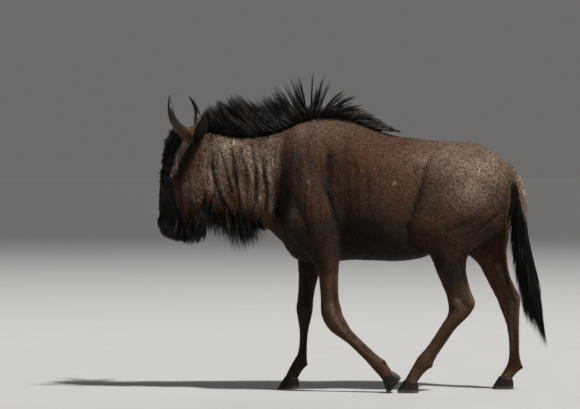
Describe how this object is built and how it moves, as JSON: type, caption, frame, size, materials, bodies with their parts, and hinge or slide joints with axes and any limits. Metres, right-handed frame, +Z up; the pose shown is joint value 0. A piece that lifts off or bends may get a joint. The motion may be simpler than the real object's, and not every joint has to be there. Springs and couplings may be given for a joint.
{
  "type": "wildebeest",
  "caption": "Life-size wildebeest in mid stride, head low, with curved horns, standing mane, throat beard and tufted tail, standing on its hooves.",
  "frame": {"origin": "on the ground under the middle of the animal's outline", "axes": "-X towards the muzzle and +X towards the tail, -Y to the animal's left and +Y to its right, +Z up"},
  "size_m": [1.9758, 0.4815, 1.6179],
  "materials": {
    "coat": "short grey-brown coat with a silvery sheen and dark brindled stripes",
    "face": "short dark face coat, black along the bridge",
    "hair": "long coarse black hair",
    "horn": "grey horn, ridged and brown at its base, smooth at its tip",
    "hoof": "dull black hoof horn",
    "eye": "wet dark brown eye"
  },
  "bodies": {
    "root": {"head": "face", "neck": "coat", "torso": "coat", "hindquarters": "coat", "foreleg_left_upper": "coat", "foreleg_left_lower": "coat", "foreleg_right_upper": "coat", "foreleg_right_lower": "coat", "hindleg_left_upper": "coat", "hindleg_left_lower": "coat", "hindleg_right_upper": "coat", "hindleg_right_lower": "coat", "eye_left": "eye", "horn_left": "horn", "ear_left": "coat", "eye_right": "eye", "horn_right": "horn", "ear_right": "coat", "tail": "hair", "hoof_left_fore_inner": "hoof", "hoof_left_fore_outer": "hoof", "hoof_right_fore_inner": "hoof", "hoof_right_fore_outer": "hoof", "hoof_left_hind_inner": "hoof", "hoof_left_hind_outer": "hoof", "hoof_right_hind_inner": "hoof", "hoof_right_hind_outer": "hoof"}
  },
  "joints": []
}
